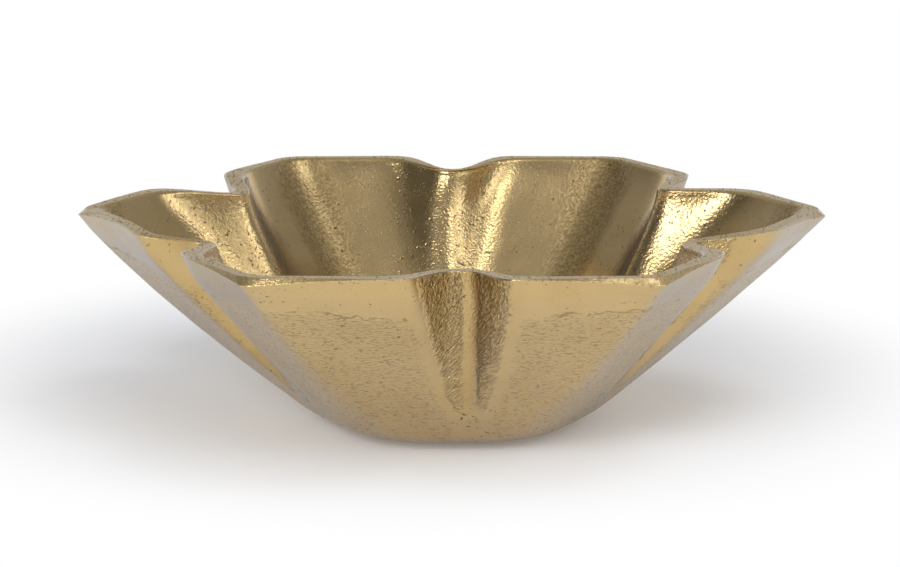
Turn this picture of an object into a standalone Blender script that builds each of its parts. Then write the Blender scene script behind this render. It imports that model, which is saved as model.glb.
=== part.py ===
"""Six-petal cast brass bowl on felt pads, at its real size in metres, with +Z up.

The bowl is one sand casting. Seen from above it is a hexagon with rounded corners, and each of its six
sides is pressed in by a groove that runs down the wall and fades out above the base. The corners between
the grooves are the petals: two of them point along +X and -X, and two grooves face +Y and -Y.
The casting stands on six felt pads, one under each petal. The origin is at the middle of their undersides.

The casting is drawn as level outlines. Each is set by its apothem, the distance from the bowl's axis to
the middle of a side before the groove is pressed in, and by its height above the casting's underside.
"""

import math
from dataclasses import dataclass

import bmesh
import bpy
import numpy as np
from mathutils import Vector

# Overall sizes of the casting
CASTING_HEIGHT = 0.070
RIM_ACROSS_FLATS = 0.2222
WALL_FOOT_ACROSS_FLATS = 0.088
SIDES = 6

# Wall section: a shallow outward arc from the foot to the shoulder, then a steeper lip up to the rim
WALL_THICKNESS = 0.0042
WALL_BULGE = 0.0011
LIP_HEIGHT = 0.0078
LIP_LEAN = 0.0046

# Floor, and the fillets where the wall runs into it
FLOOR_THICKNESS = 0.0048
BASE_FILLET = 0.021
FLOOR_FILLET = 0.017

# Corners: they grow rounder towards the base, and each side bows back from its middle to its corners
RIM_CORNER_RADIUS = 0.008
BASE_CORNER_RADIUS = 0.031
INNER_RIM_CORNER_RADIUS = 0.012
INNER_FLOOR_CORNER_RADIUS = 0.027
CORNER_ROUNDING_POWER = 1.5
SIDE_BOW = 0.0022

# Rim: a flat ground land, and an outer bevel that is widest at the corners and thins out in the grooves
RIM_WIDTH = 0.0056
LAND_CORNER_RADIUS = 0.014
BEVEL_WIDTH = 0.0010
BEVEL_DROP = 0.0016
BEVEL_GROOVE_SHARE = 0.2
RIM_DIP = 0.0013
RIM_DIP_POWER = 4

# Grooves: depth, and half-width at half depth, at the rim, and how they narrow and fade downwards
GROOVE_DEPTH = 0.0215
GROOVE_HALF_WIDTH = 0.0101
RIDGE_EXTRA_HALF_WIDTH = 0.0020
GROOVE_FOOT_HEIGHT = 0.014
GROOVE_FOOT_WIDTH_SHARE = 0.12
GROOVE_DEPTH_POWER = 1.1
GROOVE_WIDTH_POWER = 0.55

# Felt pads, glued to the flat of the base
PAD_DIAMETER = 0.010
PAD_THICKNESS = 0.0012
PAD_EDGE_INSET = 0.0035
GLUE_LINE = 0.0003

# Fineness of the meshes. Half a side is a groove, a shoulder, a flat and a corner, and each ends at its
# share of the half-side's angle, where the next one starts
GROOVE_END = 0.15
SHOULDER_END = 0.45
FLAT_END = 0.92
GROOVE_POINTS = 5
SHOULDER_POINTS = 4
FLAT_POINTS = 3
CORNER_POINTS = 3
FILLET_STEPS = 4
WALL_STEPS = 7
PAD_SEGMENTS = 32
SHARP_ANGLE = math.radians(30)

# Finishes: colour, roughness and metallic value
BRASS = ((0.62, 0.49, 0.27), 0.34, 1.0)
FELT = ((0.05, 0.045, 0.04), 0.95, 0.0)

CASTING_BOTTOM = PAD_THICKNESS + GLUE_LINE
RIM_APOTHEM = RIM_ACROSS_FLATS / 2
HALF_SIDE_ANGLE = math.pi / SIDES


@dataclass
class Level:
    """One level outline of the casting. Its bevel is what is taken off the rim's outer edge there."""

    apothem: float
    height: float
    corner_radius: float
    ridge_extra: float = 0.0
    bevel_width: float = 0.0
    bevel_drop: float = 0.0


def clear_scene():
    for thing in list(bpy.data.objects):
        bpy.data.objects.remove(thing)


def finish(name, colour, roughness, metallic):
    material = bpy.data.materials.new(name)
    material.use_nodes = True
    shader = material.node_tree.nodes["Principled BSDF"]
    shader.inputs["Base Color"].default_value = (*colour, 1.0)
    shader.inputs["Roughness"].default_value = roughness
    shader.inputs["Metallic"].default_value = metallic
    material.diffuse_color = (*colour, 1.0)
    return material


def wall_shoulder():
    """Where the outer wall turns into the lip, as (apothem, height)."""
    return Vector((RIM_APOTHEM - LIP_LEAN, CASTING_HEIGHT - LIP_HEIGHT))


def wall_arc():
    """Centre and radius of the shallow arc that the outer wall follows from its foot to its shoulder."""
    foot = Vector((WALL_FOOT_ACROSS_FLATS / 2, 0.0))
    chord = wall_shoulder() - foot
    radius = chord.length_squared / (8 * WALL_BULGE) + WALL_BULGE / 2
    inward = Vector((-chord.y, chord.x)).normalized()
    return foot + chord / 2 + inward * (radius - WALL_BULGE), radius


def fillet_centre(skin_radius, floor_height, fillet):
    """Centre of the fillet from a level floor to a wall skin of this radius about the wall arc's centre."""
    centre = wall_arc()[0]
    height = floor_height + fillet
    reach = math.sqrt((skin_radius - fillet) ** 2 - (height - centre.y) ** 2)
    return Vector((centre.x + reach, height))


def arc(centre, radius, start, end, steps):
    """Points on an arc, from the direction of start to the direction of end as seen from its centre."""
    first = math.atan2(start.y - centre.y, start.x - centre.x)
    last = math.atan2(end.y - centre.y, end.x - centre.x)
    turns = np.linspace(first, last, steps + 1)
    return [centre + radius * Vector((math.cos(turn), math.sin(turn))) for turn in turns]


def skin_profile(inset, floor_height, fillet):
    """One skin of the wall as (apothem, height) points, from the floor's edge to the shoulder."""
    centre, radius = wall_arc()
    skin_radius = radius - inset
    rounding = fillet_centre(skin_radius, floor_height, fillet)
    floor_edge = Vector((rounding.x, floor_height))
    wall_start = centre + (rounding - centre) * (skin_radius / (skin_radius - fillet))
    fillet_points = arc(rounding, fillet, floor_edge, wall_start, FILLET_STEPS)
    wall_points = arc(centre, skin_radius, wall_start, wall_shoulder(), WALL_STEPS)
    return fillet_points[:-1] + wall_points


def corner_radius_at(height, at_rim, at_base):
    fall = 1 - height / CASTING_HEIGHT
    return at_rim + (at_base - at_rim) * fall**CORNER_ROUNDING_POWER


def outer_levels():
    """Outside of the casting, from the edge of its flat base over the bevel to the edge of the rim's land."""
    levels = []
    for at in skin_profile(0.0, 0.0, BASE_FILLET):
        corner = corner_radius_at(at.y, RIM_CORNER_RADIUS, BASE_CORNER_RADIUS)
        levels.append(Level(at.x, at.y, corner))
    levels.append(Level(RIM_APOTHEM, CASTING_HEIGHT, RIM_CORNER_RADIUS, bevel_drop=BEVEL_DROP))
    levels.append(Level(RIM_APOTHEM, CASTING_HEIGHT, LAND_CORNER_RADIUS, bevel_width=BEVEL_WIDTH))
    return levels


def inner_levels():
    """Inside of the casting, from the edge of its flat floor up to the rim's land."""
    levels = []
    for at in skin_profile(WALL_THICKNESS, FLOOR_THICKNESS, FLOOR_FILLET):
        corner = corner_radius_at(at.y, INNER_RIM_CORNER_RADIUS, INNER_FLOOR_CORNER_RADIUS)
        levels.append(Level(at.x, at.y, corner, RIDGE_EXTRA_HALF_WIDTH))
    edge = RIM_APOTHEM - RIM_WIDTH
    levels.append(Level(edge, CASTING_HEIGHT, INNER_RIM_CORNER_RADIUS, RIDGE_EXTRA_HALF_WIDTH))
    return levels


def side_shares():
    """Directions across one side, as shares of half its angle: -1 at its first corner, 0 in its middle."""
    groove = np.linspace(0.0, GROOVE_END, GROOVE_POINTS, endpoint=False)
    shoulder = np.linspace(GROOVE_END, SHOULDER_END, SHOULDER_POINTS, endpoint=False)
    flat = np.linspace(SHOULDER_END, FLAT_END, FLAT_POINTS, endpoint=False)
    corner = np.linspace(FLAT_END, 1.0, CORNER_POINTS + 1)
    half = np.concatenate([groove, shoulder, flat, corner])
    return np.concatenate([-half[:0:-1], half[:-1]])


def corner_nearness():
    """How near each direction across a side is to a corner, from 0 in the side's middle to 1."""
    return np.sin(math.pi / 2 * side_shares()) ** 2


def side_outline(apothem, corner_radius):
    """Distances out from the axis and along the side, for one side of a hexagon with rounded corners."""
    angles = HALF_SIDE_ANGLE * side_shares()
    straight = apothem / np.cos(angles)
    corner_centre = (apothem - corner_radius) / math.cos(HALF_SIDE_ANGLE)
    off_corner = HALF_SIDE_ANGLE - np.abs(angles)
    across = corner_centre * np.sin(off_corner)
    rounded = corner_centre * np.cos(off_corner) + np.sqrt(np.maximum(corner_radius**2 - across**2, 0.0))
    corner_start = math.atan2((apothem - corner_radius) * math.tan(HALF_SIDE_ANGLE), apothem)
    bow = SIDE_BOW * apothem / RIM_APOTHEM * corner_nearness()
    reach = np.where(np.abs(angles) > corner_start, rounded, straight) - bow
    return reach * np.cos(angles), reach * np.sin(angles)


def level_points(level):
    """Points of one level, once round the bowl and anticlockwise from above, with the grooves pressed in."""
    groove_rise = max(level.height - GROOVE_FOOT_HEIGHT, 0.0) / (CASTING_HEIGHT - GROOVE_FOOT_HEIGHT)
    widening = (1 - GROOVE_FOOT_WIDTH_SHARE) * groove_rise**GROOVE_WIDTH_POWER
    half_width = GROOVE_HALF_WIDTH * (GROOVE_FOOT_WIDTH_SHARE + widening) + level.ridge_extra
    out, along = side_outline(level.apothem, level.corner_radius)
    groove = 0.5 ** ((along / half_width) ** 2)
    bevel = BEVEL_GROOVE_SHARE + (1 - BEVEL_GROOVE_SHARE) * corner_nearness()
    dip = RIM_DIP * groove_rise**RIM_DIP_POWER * groove
    out = out - GROOVE_DEPTH * groove_rise**GROOVE_DEPTH_POWER * groove - level.bevel_width * bevel
    up = CASTING_BOTTOM + level.height - dip - level.bevel_drop * bevel
    points = []
    for side in range(SIDES):
        facing = HALF_SIDE_ANGLE * (2 * side + 1)
        x = out * math.cos(facing) - along * math.sin(facing)
        y = out * math.sin(facing) + along * math.cos(facing)
        points.extend(zip(x, y, up))
    return points


def add_ring(shape, level):
    return [shape.verts.new(point) for point in level_points(level)]


def add_band(shape, low, high):
    """Quads between two rings, facing outwards when low is below high on an outer skin."""
    for here in range(len(low)):
        after = (here + 1) % len(low)
        shape.faces.new((low[here], low[after], high[after], high[here]))


def add_cap(shape, ring):
    """A flat cap over a ring, split into a fan from its middle."""
    face = shape.faces.new(ring)
    bmesh.ops.poke(shape, faces=[face])


def place(name, shape, material, parent, location=(0.0, 0.0, 0.0)):
    """Turns a finished shape into a named object under its parent."""
    mesh = bpy.data.meshes.new(name)
    shape.to_mesh(mesh)
    shape.free()
    mesh.shade_smooth()
    mesh.set_sharp_from_angle(angle=SHARP_ANGLE)
    mesh.materials.append(material)
    piece = bpy.data.objects.new(name, mesh)
    piece.location = location
    piece.parent = parent
    bpy.context.scene.collection.objects.link(piece)


def cast_bowl(parent):
    """The casting: outer skin, rim and inner skin as one run of rings, closed at the base and the floor."""
    shape = bmesh.new()
    rings = [add_ring(shape, level) for level in outer_levels() + inner_levels()[::-1]]
    for low, high in zip(rings, rings[1:]):
        add_band(shape, low, high)
    add_cap(shape, rings[0][::-1])
    add_cap(shape, rings[-1])
    place("cast_bowl", shape, finish("cast_brass", *BRASS), parent)


def felt_pads(parent):
    """Six die-cut felt dots, one under each petal, set in from the edge of the flat base."""
    base_edge = fillet_centre(wall_arc()[1], 0.0, BASE_FILLET).x
    circle = base_edge - PAD_EDGE_INSET - PAD_DIAMETER / 2
    for count in range(SIDES):
        shape = bmesh.new()
        bmesh.ops.create_cone(
            shape,
            cap_ends=True,
            segments=PAD_SEGMENTS,
            radius1=PAD_DIAMETER / 2,
            radius2=PAD_DIAMETER / 2,
            depth=PAD_THICKNESS,
        )
        bmesh.ops.translate(shape, verts=shape.verts, vec=(0.0, 0.0, PAD_THICKNESS / 2))
        name = f"felt_pad_{count + 1}"
        petal = 2 * HALF_SIDE_ANGLE * count
        at = (circle * math.cos(petal), circle * math.sin(petal), 0.0)
        place(name, shape, finish(name, *FELT), parent, at)


def main():
    clear_scene()
    bowl = bpy.data.objects.new("petal_bowl", None)
    bpy.context.scene.collection.objects.link(bowl)
    cast_bowl(bowl)
    felt_pads(bowl)


main()
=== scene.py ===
"""Looks of a six-petal cast brass bowl on felt pads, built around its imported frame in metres, with +Z up.

The bowl is one sand casting: a hexagon seen from above, with a groove pressed into each side and a petal at
each corner. Its mesh here follows the solid's sizes, with the unevenness that a hand-rammed mould and a
hand-held grinder leave. The finish tells the ground rim, the burnished outside, the grooves' rough cast
skin and the glossy inside apart by values that are kept on the mesh.
"""

import logging
import math
from dataclasses import dataclass, field
from enum import Enum
from typing import Any, NamedTuple, Optional, Union

import bpy
import numpy as np
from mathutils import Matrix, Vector, noise


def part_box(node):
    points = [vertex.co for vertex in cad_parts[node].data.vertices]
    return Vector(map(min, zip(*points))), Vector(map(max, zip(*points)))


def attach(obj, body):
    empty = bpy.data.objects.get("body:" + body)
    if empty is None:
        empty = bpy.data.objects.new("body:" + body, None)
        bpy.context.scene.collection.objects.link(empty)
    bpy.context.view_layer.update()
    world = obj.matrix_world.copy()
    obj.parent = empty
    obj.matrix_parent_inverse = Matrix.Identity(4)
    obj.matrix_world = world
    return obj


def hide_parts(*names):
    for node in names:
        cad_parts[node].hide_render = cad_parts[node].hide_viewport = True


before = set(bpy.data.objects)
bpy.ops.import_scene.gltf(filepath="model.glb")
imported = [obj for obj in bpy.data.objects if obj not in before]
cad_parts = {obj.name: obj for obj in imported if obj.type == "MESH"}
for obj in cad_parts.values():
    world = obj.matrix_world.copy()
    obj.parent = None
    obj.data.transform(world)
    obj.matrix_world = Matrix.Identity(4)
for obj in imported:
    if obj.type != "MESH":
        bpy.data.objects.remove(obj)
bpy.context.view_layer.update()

LOG = logging.getLogger("petal_bowl")
MM = 0.001
PER_MM = 1000.0
SIDES = 6
HALF_SIDE = math.pi / SIDES
ROOT_BODY = "root"
NOISE_MIDDLE = 0.5

Colour = tuple[float, float, float]
Place = tuple[float, float, float]
Span = tuple[float, float]
Value = Union["Wire", float]
Sockets = dict[Union[int, str], Any]


class Slot(Enum):
    """Names for the material slots, which nothing here uses."""

    BRASS = "cast_brass"
    FELT = "felt"


class Mark(Enum):
    """Values kept at each point of the casting's mesh, for its finish to read."""

    GROOVE_GAP = "groove_gap"
    ACROSS = "across"
    HEIGHT = "height"
    INSIDE = "inside"
    LAND = "land"
    BEVEL = "bevel"
    CORNER = "corner"


class Wire:
    """An output socket of a shader node, on which arithmetic adds Math nodes."""

    def __init__(self, shop: "NodeShop", socket: bpy.types.NodeSocket) -> None:
        """Keeps the socket and the shop that adds nodes to its tree."""
        self.shop = shop
        self.socket = socket

    def math(self, operation: str, left: Value, right: Value = 0.0) -> "Wire":
        """Adds a Math node for one operation on two values."""
        return self.shop.node("ShaderNodeMath", {"operation": operation}, {0: left, 1: right})

    def __abs__(self) -> "Wire":
        """Size without its sign."""
        return self.math("ABSOLUTE", self)

    def __add__(self, other: Value) -> "Wire":
        """Sum with another value."""
        return self.math("ADD", self, other)

    def __radd__(self, other: Value) -> "Wire":
        """Sum with a number on the left."""
        return self.math("ADD", other, self)

    def __sub__(self, other: Value) -> "Wire":
        """Difference from another value."""
        return self.math("SUBTRACT", self, other)

    def __rsub__(self, other: Value) -> "Wire":
        """Difference from a number on the left."""
        return self.math("SUBTRACT", other, self)

    def __mul__(self, other: Value) -> "Wire":
        """Product with another value."""
        return self.math("MULTIPLY", self, other)

    def __rmul__(self, other: Value) -> "Wire":
        """Product with a number on the left."""
        return self.math("MULTIPLY", other, self)


class NodeShop:
    """Adds nodes to one node tree and links them."""

    def __init__(self, tree: bpy.types.NodeTree) -> None:
        """Takes over the tree and empties it."""
        self.tree = tree
        tree.nodes.clear()

    def node(
        self,
        kind: str,
        settings: Optional[dict[str, Any]] = None,
        sockets: Optional[Sockets] = None,
        output: Union[int, str] = 0,
    ) -> Wire:
        """Adds one node.

        Args:
            kind: the node's type name.
            settings: properties of the node, set before its sockets.
            sockets: values or wires for its inputs, by name or place.
            output: the output that is wanted, by name or place.

        Returns:
            The wire from that output.
        """
        made = self.tree.nodes.new(kind)
        for name, value in (settings or {}).items():
            setattr(made, name, value)
        for name, value in (sockets or {}).items():
            if isinstance(value, Wire):
                self.tree.links.new(value.socket, made.inputs[name])
            else:
                made.inputs[name].default_value = value
        return Wire(self, made.outputs[output] if len(made.outputs) else None)

    def mark(self, mark: Mark) -> Wire:
        """Reads one of the values kept on the mesh."""
        return self.node("ShaderNodeAttribute", {"attribute_name": mark.value}, output="Fac")

    def place(self, stretch: Place = (1.0, 1.0, 1.0)) -> Wire:
        """Reads the place on the object.

        Args:
            stretch: a factor for each axis.

        Returns:
            The place in millimetres, stretched.
        """
        here = self.node("ShaderNodeTexCoord", output="Object")
        factors = tuple(PER_MM * factor for factor in stretch)
        return self.node("ShaderNodeVectorMath", {"operation": "MULTIPLY"}, {0: here, 1: factors})

    def cells(self, size: float) -> Wire:
        """Distance from the nearest of points that are scattered about one size apart, as a share of it."""
        sockets = {"Vector": self.place(), "Scale": 1 / size}
        return self.node("ShaderNodeTexVoronoi", {"feature": "SMOOTH_F1"}, sockets)

    def step(self, value: Value, span: Span) -> Wire:
        """Smooth step from 0 at the start of a span to 1 at its end."""
        sockets = {"Value": value, "From Min": span[0], "From Max": span[1]}
        return self.node("ShaderNodeMapRange", {"interpolation_type": "SMOOTHSTEP"}, sockets)

    def blend(self, first: Union[Wire, Colour], second: Union[Wire, Colour], share: Value) -> Wire:
        """Mixes two colours.

        Args:
            first: the colour at share 0.
            second: the colour at share 1.
            share: how much of the second shows.

        Returns:
            The mixed colour.
        """
        # A Mix node has its colours at inputs 6 and 7 and at output 2, after those for numbers and vectors.
        ends = [end if isinstance(end, Wire) else (*end, 1.0) for end in (first, second)]
        sockets = {0: share, 6: ends[0], 7: ends[1]}
        return self.node("ShaderNodeMix", {"data_type": "RGBA"}, sockets, output=2)

    def bump(self, relief: Wire) -> Wire:
        """Bent normal for a relief in millimetres."""
        return self.node("ShaderNodeBump", sockets={"Distance": MM, "Height": relief})

    def show(self, shader: Wire, output: str = "ShaderNodeOutputMaterial") -> None:
        """Links a shader to the tree's output."""
        self.node(output, sockets={"Surface": shader})


def new_material(name: str) -> tuple[bpy.types.Material, NodeShop]:
    """A fresh material and the shop for its nodes."""
    material = bpy.data.materials.new(name)
    material.use_nodes = True
    return material, NodeShop(material.node_tree)


def linked(name: str, data: bpy.types.ID) -> bpy.types.Object:
    """A new object in the scene."""
    made = bpy.data.objects.new(name, data)
    bpy.context.scene.collection.objects.link(made)
    return made


def seat(name: str, mesh: bpy.types.Mesh, node: str) -> bpy.types.Object:
    """Sets a mesh in the frame as a piece.

    Args:
        name: the piece's name.
        mesh: its mesh.
        node: the node that it replaces.

    Returns:
        The piece.
    """
    piece = linked(name, mesh)
    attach(piece, ROOT_BODY)
    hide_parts(node)
    return piece


def stand(mesh: bpy.types.Mesh, material: bpy.types.Material) -> None:
    """Sets a mesh up as part of the studio."""
    mesh.materials.append(material)
    linked(mesh.name, mesh)


def stacked_mesh(
    name: str, rings: list[np.ndarray], end: Place, start: Optional[Place] = None
) -> bpy.types.Mesh:
    """A smooth mesh over a stack of rings, closed by fans of triangles.

    Args:
        name: the mesh's name.
        rings: rings of equally many points, one row of coordinates each. Faces look out of the stack where
            the rings run anticlockwise from above and rise.
        end: middle of the fan that closes the last ring.
        start: middle of the fan that closes the first ring, or None to leave it open.

    Returns:
        The mesh, with its points in the order of the rings, then the start if there is one, and the end.
    """
    count = len(rings[0])
    middles = [end] if start is None else [start, end]
    points = np.concatenate([*rings, middles])
    last = (len(rings) - 1) * count
    faces = []
    for here in range(count):
        after = (here + 1) % count
        for low in range(0, last, count):
            faces.append((low + here, low + after, low + count + after, low + count + here))
        if start is not None:
            faces.append((len(points) - 2, after, here))
        faces.append((len(points) - 1, last + here, last + after))
    mesh = bpy.data.meshes.new(name)
    mesh.from_pydata(points, [], faces)
    mesh.shade_smooth()
    return mesh


def around(segments: int) -> np.ndarray:
    """Even directions once round the axis, anticlockwise from +X, one row for each."""
    turns = np.linspace(0.0, 2 * math.pi, segments, endpoint=False)
    return np.column_stack([np.cos(turns), np.sin(turns)])


def ramp(values: Union[float, np.ndarray], span: Span) -> np.ndarray:
    """Straight rise from 0 at the start of a span to 1 at its end."""
    return np.clip((values - span[0]) / (span[1] - span[0]), 0.0, 1.0)


@dataclass(frozen=True)
class Texture:
    """A noise over a piece, and the mask that is made of it.

    Attributes:
        size: size of its largest features in millimetres.
        detail: how many finer layers are added.
        twist: how far the pattern is bent.
        stretch: a factor for each axis, where a larger one makes the features shorter along it.
        span: the values at which the mask starts and is full.
    """

    size: float
    detail: float = 2.0
    twist: float = 0.0
    stretch: Place = (1.0, 1.0, 1.0)
    span: Span = (0.0, 1.0)

    def values(self, shop: NodeShop, place: Optional[Wire] = None) -> Wire:
        """Adds the noise.

        Args:
            shop: the shop for the material's nodes.
            place: where the noise is read, in millimetres, or None for the stretched place on the piece.

        Returns:
            Values about one half.
        """
        vector = shop.place(self.stretch) if place is None else place
        sockets = {"Vector": vector, "Scale": 1 / self.size, "Detail": self.detail, "Distortion": self.twist}
        return shop.node("ShaderNodeTexNoise", sockets=sockets)

    def mask(self, shop: NodeShop, values: Wire) -> Wire:
        """Makes a mask of values of this noise."""
        return shop.step(values, self.span)

    def patches(self, shop: NodeShop) -> Wire:
        """Adds the noise and makes a mask of it."""
        return self.mask(shop, self.values(shop))


@dataclass(frozen=True)
class Treatment:
    """What one zone or mark of the casting adds to its finish.

    Attributes:
        relief: height of its relief in millimetres.
        tarnish_and_shade: share of the dark patina colour in its colour; in the inner corners it is painted
            shade.
        roughness: what it adds to the roughness.
    """

    relief: float = 0.0
    tarnish_and_shade: float = 0.0
    roughness: float = 0.0


@dataclass
class BrassZones:
    """Where each treatment of the casting shows, as masks.

    Attributes:
        inside: the inner skin.
        land: the ground rim.
        bevel: the rim's outer bevel.
        groove: the rough cast skin in the outer grooves.
        grained: the outside without its burnished band under the rim and strips beside the grooves.
        seam: the lower edge of that band, in places.
        foot: the lower ends of the outer grooves.
        ridge: the inner skin about the ridges that the grooves press in.
        smooth: the slicked strip down the bottom of each outer groove.
        corner: the inner skin in the petals' corners, where painted shade darkens it.
    """

    inside: Wire
    land: Wire
    bevel: Wire
    groove: Wire
    grained: Wire
    seam: Wire
    foot: Wire
    ridge: Wire
    smooth: Wire
    corner: Wire


@dataclass(frozen=True)
class ZoneEdges:
    """Edges of the casting's zones, in millimetres, each from where a zone starts to where it is full.

    Attributes:
        wander: noise that makes the edges wander.
        gap_wander: how far it moves the edges along a groove.
        height_wander: how far it moves the edges that run level.
        across_wander: how far it moves the slicked strip.
        corner_wander: how far it moves the edges beside a corner, in nearness to the corner.
        groove: gaps across the edge of a groove's rough skin.
        groove_start: heights over which that skin starts.
        strip: gaps across the outer edge of the burnished strip beside a groove.
        band: heights across the lower edge of the burnished band under the rim.
        band_rise: how much higher that edge lies at a petal's tip.
        seam: values of the band's mask times its reverse, which come to a quarter on that edge.
        seam_places: noise that keeps the seam to some places.
        foot: gaps across the edge of a groove's foot.
        foot_top: heights over which the foot ends.
        inner_wall: heights over which the inner wall starts.
        ridge: gaps across the edge of an inner ridge.
        smooth: distances across the edge of the slicked strip, from its middle.
        smooth_shift: how far clockwise of the rough skin's middle that strip lies.
        corner: nearness to a corner over which the inner corner's skin, darkened by painted shade, starts.
    """

    wander: Texture = Texture(4.0)
    gap_wander: float = 3.0
    height_wander: float = 6.0
    across_wander: float = 2.0
    corner_wander: float = 0.08
    groove: Span = (0.8, -0.8)
    groove_start: Span = (13.0, 22.0)
    strip: Span = (5.5, 3.0)
    band: Span = (51.5, 55.5)
    band_rise: float = 5.0
    seam: Span = (0.21, 0.25)
    seam_places: Texture = Texture(17.0, 1.0, span=(0.52, 0.60))
    foot: Span = (7.0, 3.0)
    foot_top: Span = (21.0, 17.0)
    inner_wall: Span = (8.0, 22.0)
    ridge: Span = (9.0, 3.0)
    smooth: Span = (3.6, 1.8)
    smooth_shift: float = 0.2
    corner: Span = (0.84, 0.97)

    def zones(self, shop: NodeShop) -> BrassZones:
        """Reads the marks on the mesh and gives their borders a wandering edge.

        Args:
            shop: the shop for the material's nodes.

        Returns:
            The masks.
        """
        wander = self.wander.values(shop) - NOISE_MIDDLE
        inside = shop.mark(Mark.INSIDE)
        land = shop.mark(Mark.LAND)
        bevel = shop.mark(Mark.BEVEL)
        gap = shop.mark(Mark.GROOVE_GAP) + wander * self.gap_wander
        height = shop.mark(Mark.HEIGHT) + wander * self.height_wander
        nearness = shop.mark(Mark.CORNER)
        off_strip = shop.mark(Mark.ACROSS) + self.smooth_shift + wander * self.across_wander
        skin = (1 - inside) * (1 - land) * (1 - bevel)
        groove = shop.step(gap, self.groove) * shop.step(height, self.groove_start)
        strip = shop.step(gap, self.strip)
        band = shop.step(height - nearness * self.band_rise, self.band)
        seam = shop.step(band * (1 - band), self.seam) * self.seam_places.patches(shop)
        inner_wall = inside * shop.step(height, self.inner_wall)
        return BrassZones(
            inside=inside,
            land=land,
            bevel=bevel,
            groove=skin * groove,
            grained=skin * (1 - groove) * (1 - strip) * (1 - band),
            seam=skin * (1 - strip) * seam,
            foot=skin * shop.step(gap, self.foot) * shop.step(height, self.foot_top),
            ridge=inner_wall * shop.step(gap, self.ridge),
            smooth=shop.step(abs(off_strip), self.smooth),
            # The inner corners are darkened with painted shade.
            corner=inner_wall * shop.step(nearness + wander * self.corner_wander, self.corner),
        )


@dataclass
class BrassPrints:
    """What the mould, the wheel and wear left on the casting, as noises and masks.

    Attributes:
        broad: noise of slow changes of tone.
        fine: noise of the finest grain.
        dashes: noise of short level lines.
        strokes: noise of slanting strokes.
        pebbles: noise of rounded pebbles.
        rough: mask of the rough skin, less where it is slicked.
        pits: mask of small pits.
        dimples: mask of round dimples on the inner ridges.
        scores: mask of dark scores that a grinding belt left along the rim.
    """

    broad: Wire
    fine: Wire
    dashes: Wire
    strokes: Wire
    pebbles: Wire
    rough: Wire
    pits: Wire
    dimples: Wire
    scores: Wire


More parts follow.
